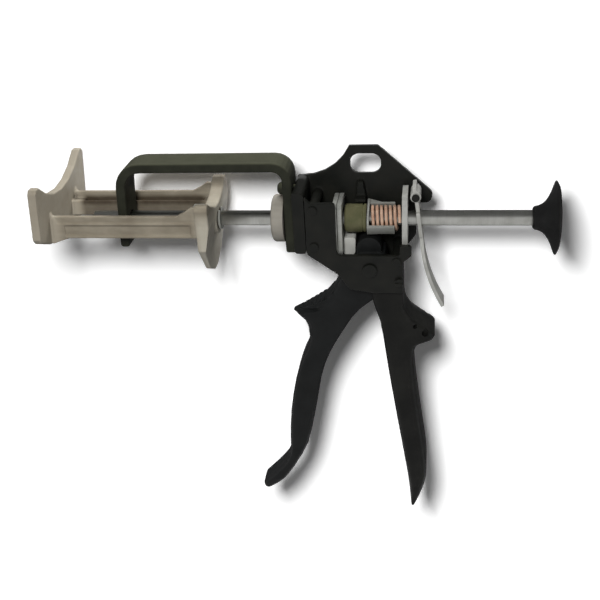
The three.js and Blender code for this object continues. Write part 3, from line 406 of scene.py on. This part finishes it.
def beige_plastic(name, pale, mid, dark, shade_colour="3a3228", worn="b9b2a4", paler_zones=(), painted_shade_band=()):
    """Glass-filled nylon: mottled, with faint flow marks, pale worn edges and painted shade in
    corners.

    paler_zones holds zones (start, end, top, colour): along X from start to end, and below top,
    the colour turns paler. painted_shade_band is (front, rear, axis y, reach, top): between front
    and rear the faces nearer to the axis than reach are painted darker, a painted shade that is
    thickest just below top.
    """
    f = Finish(name, Specular_IOR_Level=0.35, Subsurface_Weight=0.05, Subsurface_Scale=1.0)
    f.bsdf.inputs["Subsurface Radius"].default_value = (1.6 * MM, 1.1 * MM, 0.8 * MM)
    mottle = f.spread(f.noise(60, 6), 0.32, 0.70)
    flow = f.spread(f.noise(230, 5, (0.25, 1, 1)), 0.36, 0.70)
    base = f.mix(mottle, linear(pale), linear(mid))
    base = f.mix(f.math("MULTIPLY", flow, 0.45), base, linear(dark))

    along, across, up = f.node("SeparateXYZ", {0: f.place}).outputs[:3]
    # zones along X and below a height are mixed towards a paler colour
    for start, end, top, tone in paler_zones:
        below = f.spread(up, top + 4 * MM, top - 4 * MM)
        paler_share = f.math("MULTIPLY", f.spread(along, start, end), below)
        base = f.mix(f.math("MULTIPLY", paler_share, f.spread(mottle, 0, 1, 0.9, 0.6)), base, linear(tone))

    scuffs = f.spread(f.noise(500, 5), 0.35, 0.65)
    rubbed = f.math("MULTIPLY", f.edges(0.6 * MM), scuffs)
    base = f.mix(f.math("MULTIPLY", rubbed, 0.35), base, linear(worn))

    # painted shade: the rails' faces near the rod are painted darker, as the shade in their
    # recesses
    if painted_shade_band:
        front, rear, axis_y, reach, top = painted_shade_band
        off_axis = f.math("ABSOLUTE", f.math("SUBTRACT", across, axis_y))
        inside = f.spread(off_axis, reach + 0.3 * MM, reach)
        between = f.math("MINIMUM", f.spread(along, front, front + 3 * MM),
                         f.spread(along, rear, rear - 6 * MM))
        level = f.math("MINIMUM", f.spread(up, top + 2.5 * MM, top),
                       f.spread(up, top - 1 * MM, top - 3 * MM, 1, 0.62))
        streaks = f.spread(f.noise(180, 5), 0.3, 0.65, 0.85, 1)
        shade_share = f.math("MULTIPLY", inside, between)
        shade_share = f.math("MULTIPLY", shade_share, level)
        shade_share = f.math("MULTIPLY", shade_share, streaks)
        base = f.mix(shade_share, base, linear(shade_colour))

    # painted shade: corners and hollows are painted darker where ambient occlusion is low, broken
    # up by noise
    corners = f.node("AmbientOcclusion", values={"Distance": 4.5 * MM}, samples=6).outputs["AO"]
    shade_patches = f.spread(f.noise(260, 5), 0.2, 0.6, 0.6, 1)
    corner_shade = f.math("MULTIPLY", f.spread(corners, 0.66, 0.30), shade_patches)
    f.colour(f.mix(corner_shade, base, linear(shade_colour)))
    f.roughness(f.spread(flow, 0, 1, 0.50, 0.64))
    return f.bump((f.noise(520, 4), 0.025 * MM), (f.noise(3000, 2), 0.008 * MM))


def metal(name, pale, dark, rough, brush, brush_scale, brush_depth,
          worn="d8d6cf", tone=110, metallic=1.0):
    """Bare or plated metal: uneven tone, brushing along one way, bright worn edges.

    brush stretches the brushing along X, Y and Z, and brush_depth is in millimetres.
    """
    f = Finish(name, Metallic=metallic)
    stain = f.spread(f.noise(tone, 6), 0.34, 0.72)
    lines = f.noise(brush_scale, 5, brush, 0.65)
    base = f.mix(stain, linear(pale), linear(dark))
    base = f.mix(f.spread(lines, 0.45, 0.8, 0, 0.5), base, linear(dark))
    wear = f.math("MULTIPLY", f.edges(0.35 * MM), 0.6)
    f.colour(f.mix(wear, base, linear(worn)))
    f.roughness(f.math("ADD", f.spread(stain, 0, 1, rough, rough + 0.12),
                       f.spread(lines, 0.3, 0.7, -0.05, 0.07)))
    return f.bump((lines, brush_depth * MM))


# paler zones: the yoke below a height, and the front plate
YOKE_PALER_ZONE = (YOKE_FRONT - 3 * MM, YOKE_FRONT + 3 * MM, ROD_AXIS.z + 9 * MM, "b0ab9d")
PLATE_PALER_ZONE = (CARRIAGE_FRONT + 12 * MM, CARRIAGE_FRONT + 8 * MM, cad_box[1].z + 20 * MM, "928b7d")
# where the painted shade lies along the inner faces of the rails
RAIL_PAINTED_SHADE = (CARRIAGE_FRONT + 10 * MM, YOKE_FRONT, ROD_AXIS.y, 17.2 * MM, ROD_AXIS.z + 5 * MM)

materials = {
    "casting": black_casting("black_casting", "0f100e", "181815", "44443f", 0.42),
    "trigger": black_casting("trigger_paint", "0f1010", "171818", "404244", 0.48, 0.18),
    "bail": black_casting("bail_paint", "1f201a", "2a2b23", "4c4c40", 0.52, 0.12, painted_top_light="3f4034"),
    "grip": black_plastic("grip_plastic", "0f0f0e", "181816", 0.52),
    "knob": black_plastic("knob_plastic", "0f0f0f", "171717", 0.50),
    "beige": beige_plastic("beige_nylon", "8b8475", "756d5f", "595143",
                           paler_zones=(YOKE_PALER_ZONE, PLATE_PALER_ZONE), painted_shade_band=RAIL_PAINTED_SHADE),
    "collar": beige_plastic("collar_nylon", "8f8b82", "827e75", "706c65"),
    "rod": metal("rod_steel", "d0d0cb", "b6b6b0", 0.32, (9, 0.6, 0.6), 260, 0.0003),
    "zinc": metal("zinc_plate", "aeafaa", "90928a", 0.42, (1, 1, 4), 400, 0.008, metallic=0.6),
    "bright": metal("bright_plate", "bebeb9", "9e9e98", 0.40, (4, 4, 0.5), 500, 0.006,
                    metallic=0.55),
    "pad": metal("pad_plate", "b8b8b3", "9e9e98", 0.48, (4, 4, 0.5), 500, 0.006, metallic=0.3),
    "spring": metal("copper_wire", "cbae98", "a88068", 0.38, (2, 2, 2), 700, 0.004,
                    worn="e0c4b2", tone=300, metallic=0.35),
    "return": metal("spring_wire", "a9a9a4", "83837d", 0.34, (2, 2, 2), 700, 0.004, metallic=0.6),
    "bush": metal("bush_brass", "666349", "515339", 0.55, (8, 1, 1), 600, 0.008,
                  worn="86825f", tone=160, metallic=0.45),
}

# ------------------------------------------------------------------ pieces

RETURN_WIRE, RETURN_TURNS = 1.6 * MM, 4
BRAKE_WIRE, BRAKE_TURNS = 1.7 * MM, 6.5
WIRE_SIDES, COIL_STEPS = 14, 48            # round the wire, and in each turn of a coil

MERGE = 1e-6                               # points closer than this are one
FLAT_ANGLE, STRAIGHT_ANGLE = 0.6, 0.5      # degrees: faces that are flat, edges that run on
CAST_ANGLE, CARVED_ANGLE, CUT_ANGLE, COIL_ANGLE = 60, 50, 38, 50       # degrees, kept sharp above
BEVEL_ANGLE, BEVEL_SEGMENTS = 30, 2
SMOOTH_FACTOR = 0.5
FLAT_SIDE = 0.6                            # least |y| of the normal on a handle's flat side

TURNED_STEPS = 96
KNOB_WAIST, KNOB_HUB = 2.2 * MM, 6 * MM

HOOK_BEAK = (                              # x, z and half thickness in mm
    (-18, -66.5, 8.2), (-21.5, -70.5, 7.4), (-29.5, -74.9, 5.2), (-36.4, -78.2, 3.0),
    (-40.9, -80.1, 1.7), (-40.7, -80.7, 1.7), (-34.8, -84.0, 4.0), (-32.4, -88.5, 6.2),
    (-31.7, -93.5, 8.2), (-22, -93.5, 8.2), (-14, -78, 8.2))
HOOK_FLANK = (HOOK_BEAK[1], HOOK_BEAK[3])  # the notches lie between these two
HOOK_NOTCHES = 6
NOTCH_RADIUS, NOTCH_LENGTH, NOTCH_LIFT = 0.85 * MM, 30 * MM, 0.25 * MM

SPUR_MARKS = (                             # name, x, z, radius and length of its cutter in mm
    ("dimple", 31.8, -88.4, 1.9, 5.6),
    ("dot", 26.4, -84.4, 1.2, 5.6))
GROOVE_INSET, GROOVE_WIDTH, GROOVE_DEPTH = 4.4 * MM, 1.0 * MM, 0.8 * MM
GROOVE_FOOT, GROOVE_HEAD = 14 * MM, 58 * MM    # from the grip's lower and upper end
GROOVE_FADE = 4 * MM

RIB_IN, RIB_OUT = 17 * MM, 19.4 * MM       # from the rod's axis
RIB_FOOT, RIB_TOP = 4 * MM, 8.8 * MM
RIB_START, RIB_END = 4 * MM, 12 * MM       # behind the front plate's face, behind the bail's


def bare_mesh(node, name):
    """A copy of a CAD node's mesh with its vertices merged and no shading of its own."""
    bm = bmesh.new()
    bm.from_mesh(nodes[node].data)
    bmesh.ops.remove_doubles(bm, verts=bm.verts, dist=MERGE)
    mesh = mesh_from(bm, name)
    for attribute in ("custom_normal", "sharp_edge", "sharp_face"):
        if attribute in mesh.attributes:
            mesh.attributes.remove(mesh.attributes[attribute])
    return mesh


def settled(obj):
    """Applies the object's modifiers."""
    bpy.context.view_layer.update()
    mesh = bpy.data.meshes.new_from_object(obj.evaluated_get(bpy.context.evaluated_depsgraph_get()))
    old = obj.data
    obj.modifiers.clear()
    obj.data = mesh
    bpy.data.meshes.remove(old)


def smooth_shade(mesh, angle):
    """Smooth shading, with the edges sharper than angle in degrees kept."""
    mesh.polygons.foreach_set("use_smooth", [True] * len(mesh.polygons))
    bm = bmesh.new()
    bm.from_mesh(mesh)
    for edge in bm.edges:
        edge.smooth = len(edge.link_faces) == 2 and edge.calc_face_angle() < math.radians(angle)
    bm.to_mesh(mesh)
    bm.free()


def stand_in(obj, node, material):
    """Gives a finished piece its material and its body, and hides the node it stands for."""
    obj.data.materials.clear()
    obj.data.materials.append(materials[material])
    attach(obj, body_of_node[node])
    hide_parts(node)
    return obj


def carve(obj, cutters):
    """Takes the cutters' shapes out of the object."""
    for cutter in cutters:
        cut = obj.modifiers.new("cut", "BOOLEAN")
        cut.object = cutter
        cut.operation = "DIFFERENCE"
        cut.solver = "EXACT"
    settled(obj)
    for cutter in cutters:
        bpy.data.objects.remove(cutter)
    smooth_shade(obj.data, CARVED_ANGLE)


def cross_rod(name, centre, radius, length, sides):
    """A cutter: a round rod along Y."""
    bm = bmesh.new()
    turn = Matrix.Translation(centre) @ Matrix.Rotation(math.radians(90), 4, "X")
    bmesh.ops.create_cone(bm, cap_ends=True, segments=sides, radius1=radius, radius2=radius,
                          depth=length, matrix=turn)
    return link_object(name, mesh_from(bm, name))


def add_block(mesh, low, high):
    """Adds a block to a mesh that is about to get one skin."""
    bm = bmesh.new()
    bm.from_mesh(mesh)
    middle, size = (low + high) / 2, high - low
    shape = Matrix.Translation(middle) @ Matrix.Diagonal((*size, 1))
    bmesh.ops.create_cube(bm, size=1, matrix=shape)
    bm.to_mesh(mesh)
    bm.free()


def add_plate(mesh, outline):
    """Adds a plate round the rod's plane to a mesh that is about to get one skin.

    The outline holds points of x, z and half thickness in millimetres.
    """
    bm = bmesh.new()
    bm.from_mesh(mesh)
    near = [bm.verts.new((x * MM, ROD_AXIS.y - half * MM, z * MM)) for x, z, half in outline]
    far = [bm.verts.new((x * MM, ROD_AXIS.y + half * MM, z * MM)) for x, z, half in outline]
    bm.faces.new(near)
    bm.faces.new(far[::-1])
    for i, vert in enumerate(near):
        bm.faces.new((vert, far[i], far[i - 1], near[i - 1]))
    bmesh.ops.triangulate(bm, faces=bm.faces)
    bmesh.ops.recalc_face_normals(bm, faces=bm.faces)
    bm.to_mesh(mesh)
    bm.free()


def press_groove(obj, low, high):
    """Presses a groove into both flat sides of a handle, a fixed way in from its rear edge."""
    rear_edge = {}
    for vert in obj.data.vertices:
        slice_z = round(vert.co.z / MM)
        rear_edge[slice_z] = max(rear_edge.get(slice_z, -1), vert.co.x)
    for vert in obj.data.vertices:
        middle = rear_edge[round(vert.co.z / MM)] - GROOVE_INSET
        away = abs(middle - vert.co.x) / GROOVE_WIDTH
        end = min(vert.co.z - low, high - vert.co.z) / GROOVE_FADE
        if away < 1 and end > 0 and abs(vert.normal.y) > FLAT_SIDE:
            depth = GROOVE_DEPTH * (1 - away * away) * min(end, 1)
            vert.co.y -= math.copysign(depth, vert.normal.y)


def rounded(node, name, voxel, passes, keep=0.4, blocks=(), plates=()):
    """The node as a casting or moulding: one skin with soft edges and filled corners.

    voxel is in millimetres, passes is how often the skin is smoothed, and keep is the share
    of its triangles that stays.
    """
    obj = link_object(name, bare_mesh(node, name))
    for low, high in blocks:
        add_block(obj.data, low, high)
    for outline in plates:
        add_plate(obj.data, outline)
    skin = obj.modifiers.new("skin", "REMESH")
    skin.mode = "VOXEL"
    skin.voxel_size = voxel * MM
    soft = obj.modifiers.new("soft", "SMOOTH")
    soft.factor = SMOOTH_FACTOR
    soft.iterations = passes
    fewer = obj.modifiers.new("fewer", "DECIMATE")
    fewer.ratio = keep
    settled(obj)
    smooth_shade(obj.data, CAST_ANGLE)
    return obj


def break_edges(obj, width):
    """Breaks the edges of a cut, stamped or turned piece; width is in millimetres."""
    edge = obj.modifiers.new("edge", "BEVEL")
    edge.width = width * MM
    edge.segments = BEVEL_SEGMENTS
    edge.limit_method = "ANGLE"
    edge.angle_limit = math.radians(BEVEL_ANGLE)
    edge.use_clamp_overlap = True
    settled(obj)
    smooth_shade(obj.data, CUT_ANGLE)


def bevelled(node, name, width):
    """The node as a cut or stamped piece: its flat faces whole, every edge broken."""
    mesh = bare_mesh(node, name)
    bm = bmesh.new()
    bm.from_mesh(mesh)
    bmesh.ops.dissolve_limit(bm, angle_limit=math.radians(FLAT_ANGLE), verts=bm.verts,
                             edges=bm.edges)
    bm.to_mesh(mesh)
    bm.free()
    obj = link_object(name, mesh)
    break_edges(obj, width)
    return obj


def half_section(node, centre, axis, out):
    """The node's outline on the side out of its axis, as a new bmesh of edges."""
    bm = bmesh.new()
    bm.from_mesh(nodes[node].data)
    bmesh.ops.remove_doubles(bm, verts=bm.verts, dist=MERGE)
    sliced = bmesh.ops.bisect_plane(bm, geom=bm.verts[:] + bm.edges[:] + bm.faces[:], dist=MERGE,
                                    plane_co=centre, plane_no=axis.cross(out))
    section, copies = bmesh.new(), {}
    for edge in sliced["geom_cut"]:
        if not isinstance(edge, bmesh.types.BMEdge):
            continue
        reach = [(vert.co - centre).dot(out) for vert in edge.verts]
        if min(reach) > -MERGE and max(reach) > 10 * MERGE:
            for vert in edge.verts:
                if vert not in copies:
                    copies[vert] = section.verts.new(vert.co)
            section.edges.new([copies[vert] for vert in edge.verts])
    bm.free()
    bmesh.ops.dissolve_limit(section, angle_limit=math.radians(STRAIGHT_ANGLE), verts=section.verts,
                             edges=section.edges)
    return section


def turned(node, name, along, width, waist=0.0, hub=0.0):
    """The node as a turned piece: its half section swept again in fine steps, edges broken.

    waist draws in the section between the radius hub and the rim, most half-way.
    """
    low, high = (Vector(corner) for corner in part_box(node))
    centre = (low + high) / 2
    axis = Vector((1, 0, 0)) if along == "X" else Vector((0, 1, 0))
    bm = half_section(node, centre, axis, Vector((0, 0, 1)))
    bmesh.ops.spin(bm, geom=bm.verts[:] + bm.edges[:], cent=centre, axis=axis,
                   angle=2 * math.pi, steps=TURNED_STEPS, use_merge=True)
    bmesh.ops.remove_doubles(bm, verts=bm.verts, dist=MERGE)
    bmesh.ops.recalc_face_normals(bm, faces=bm.faces)
    if waist:
        rim = (high - low).z / 2
        for vert in bm.verts:
            radial = vert.co - centre
            radial -= radial.dot(axis) * axis
            share = min(max((radial.length - hub) / (rim - hub), 0), 1)
            if share > 0:
                vert.co -= radial.normalized() * waist * 4 * share * (1 - share)
    obj = link_object(name, mesh_from(bm, name))
    break_edges(obj, width)
    return obj


def coil(node, name, wire, turns):
    """A wound spring along X with its ends ground flat, as long and wide as its node."""
    low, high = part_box(node)
    y, z = (low[1] + high[1]) / 2, (low[2] + high[2]) / 2
    middle = (high[2] - low[2] - wire) / 2
    start, span = low[0] + wire / 2, high[0] - low[0] - wire
    pitch = span / turns
    count = round(turns * COIL_STEPS)
    bm = bmesh.new()
    rings = []
    for i in range(count + 1):
        turn = 2 * math.pi * turns * i / count
        radial = Vector((0, math.cos(turn), math.sin(turn)))
        rise = pitch / (2 * math.pi * middle)
        slope = Vector((rise, -math.sin(turn), math.cos(turn))).normalized()
        across = slope.cross(radial)
        hub = Vector((start + span * i / count, y, z)) + middle * radial
        ring = []
        for k in range(WIRE_SIDES):
            swing = 2 * math.pi * k / WIRE_SIDES
            spot = hub + (radial * math.cos(swing) + across * math.sin(swing)) * wire / 2
            ring.append(bm.verts.new((min(max(spot.x, low[0]), high[0]), spot.y, spot.z)))
        rings.append(ring)
    for one, two in zip(rings, rings[1:]):
        for k in range(WIRE_SIDES):
            following = (k + 1) % WIRE_SIDES
            bm.faces.new((one[k], one[following], two[following], two[k]))
    bm.faces.new(rings[0][::-1])
    bm.faces.new(rings[-1])
    bmesh.ops.recalc_face_normals(bm, faces=bm.faces)
    obj = link_object(name, mesh_from(bm, name))
    smooth_shade(obj.data, COIL_ANGLE)
    return obj


def rail_ribs():
    """The ribs along the tops of the rails, run on past the bail to the front plate."""
    front, rear = CARRIAGE_FRONT + RIB_START, BAIL_FRONT + RIB_END
    bottom, top = ROD_AXIS.z + RIB_FOOT, ROD_AXIS.z + RIB_TOP
    return [(Vector((front, ROD_AXIS.y + near, bottom)), Vector((rear, ROD_AXIS.y + far, top)))
            for near, far in ((-RIB_OUT, -RIB_IN), (RIB_IN, RIB_OUT))]


def hook_notches():
    """Cutters for the notches along the upper flank of the trigger's hook."""
    start, end = (Vector((x, 0, z)) * MM for x, z, _ in HOOK_FLANK)
    lift = Vector((0, ROD_AXIS.y, NOTCH_LIFT))
    return [cross_rod(f"notch_{i}", start.lerp(end, (i + 0.5) / HOOK_NOTCHES) + lift,
                      NOTCH_RADIUS, NOTCH_LENGTH, 12) for i in range(HOOK_NOTCHES)]


def spur_marks(near_y, far_y):
    """Cutters for the dimple and the dot on both sides of the grip's spur."""
    return [cross_rod(f"{name}_{side}", (x * MM, y, z * MM), radius * MM, length * MM, 24)
            for name, x, z, radius, length in SPUR_MARKS
            for side, y in (("near", near_y), ("far", far_y))]


make_camera()
make_world()
make_lamp("key", KEY_PLACE, KEY_POWER)
make_lamp("back_key", BACK_KEY_PLACE, BACK_KEY_POWER)
make_floor()
make_cards()

# castings and mouldings
for node, name, voxel, passes, material, slot in (
        ("frame", "body_casting", 0.5, 5, "casting", "black_casting"),
        ("side_cheek", "cheek_casting", 0.45, 5, "casting", "black_casting"),
        ("bail", "bail_strap", 0.45, 3, "bail", "black_paint")):
    stand_in(rounded(node, name, voxel, passes), node, material)

# the finger hook is drawn out to a sharp beak, notched along its upper flank
trigger = rounded("trigger", "trigger_casting", 0.4, 3, keep=0.3, plates=(HOOK_BEAK,))
carve(trigger, hook_notches())
stand_in(trigger, "trigger", "trigger")

# the grip has a dimple and a dot on each side of its spur, and a line beside its rear edge
grip_low, grip_high = (Vector(corner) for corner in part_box("rear_grip"))
grip = rounded("rear_grip", "grip_moulding", 0.45, 5, keep=0.3)
press_groove(grip, grip_low.z + GROOVE_FOOT, grip_high.z - GROOVE_HEAD)
carve(grip, spur_marks(grip_low.y, grip_high.y))
stand_in(grip, "rear_grip", "grip")

stand_in(rounded("carriage", "carriage_moulding", 0.4, 2, blocks=rail_ribs()),
         "carriage", "beige")

# turned pieces
for node, name, along, width, material, slot in (
        ("guide_collar", "rod_guide", "X", 0.3, "collar", "beige_plastic"),
        ("push_rod", "rod_bar", "X", 0.25, "rod", "rod_steel"),
        ("guide_bush", "rod_bush", "X", 0.12, "bush", "bush_brass"),
        ("cheek_rivet_1", "rivet_upper", "Y", 0.25, "casting", "black_casting"),
        ("cheek_rivet_2", "rivet_lower", "Y", 0.25, "casting", "black_casting"),
        ("cheek_rivet_3", "rivet_rear", "Y", 0.25, "casting", "black_casting"),
        ("trigger_pin", "trigger_pivot", "Y", 0.25, "casting", "black_paint"),
        ("lever_pin", "lever_pivot", "Y", 0.2, "casting", "black_paint")):
    stand_in(turned(node, name, along, width), node, material)
stand_in(turned("knob", "palm_knob", "X", 0.35, KNOB_WAIST, KNOB_HUB),
         "knob", "knob")

# cut and stamped pieces
for node, name, width, material, slot in (
        ("bail_bolt", "bail_screw", 0.2, "bail", "black_paint"),
        ("drive_plate_front", "grip_plate_front", 0.3, "zinc", "zinc_steel"),
        ("drive_plate_rear", "grip_plate_rear", 0.3, "zinc", "zinc_steel"),
        ("thrust_shoe", "thrust_pad", 0.3, "pad", "zinc_steel"),
        ("spring_bracket", "spring_cage", 0.15, "zinc", "zinc_steel"),
        ("brake_plate", "rod_brake", 0.3, "bright", "zinc_steel"),
        ("release_lever", "thumb_lever", 0.25, "bright", "zinc_steel"),
        ("trigger_pin_clip", "pivot_clip", 0.1, "zinc", "zinc_steel"),
        ("grip_screw", "grip_bolt", 0.15, "casting", "black_paint"),
        ("grip_nut", "grip_bolt_nut", 0.2, "zinc", "zinc_steel"),
        ("yoke_nut", "rod_nut", 0.4, "zinc", "zinc_steel"),
        ("yoke_ring", "rod_ring", 0.15, "zinc", "zinc_steel"),
        ("knob_screw", "knob_bolt", 0.15, "zinc", "zinc_steel")):
    stand_in(bevelled(node, name, width), node, material)

return_coil = stand_in(coil("return_spring", "return_coil", RETURN_WIRE, RETURN_TURNS),
                       "return_spring", "return")
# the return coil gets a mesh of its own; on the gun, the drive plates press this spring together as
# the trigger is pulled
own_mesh(return_coil)
stand_in(coil("brake_spring", "brake_coil", BRAKE_WIRE, BRAKE_TURNS),
         "brake_spring", "spring")
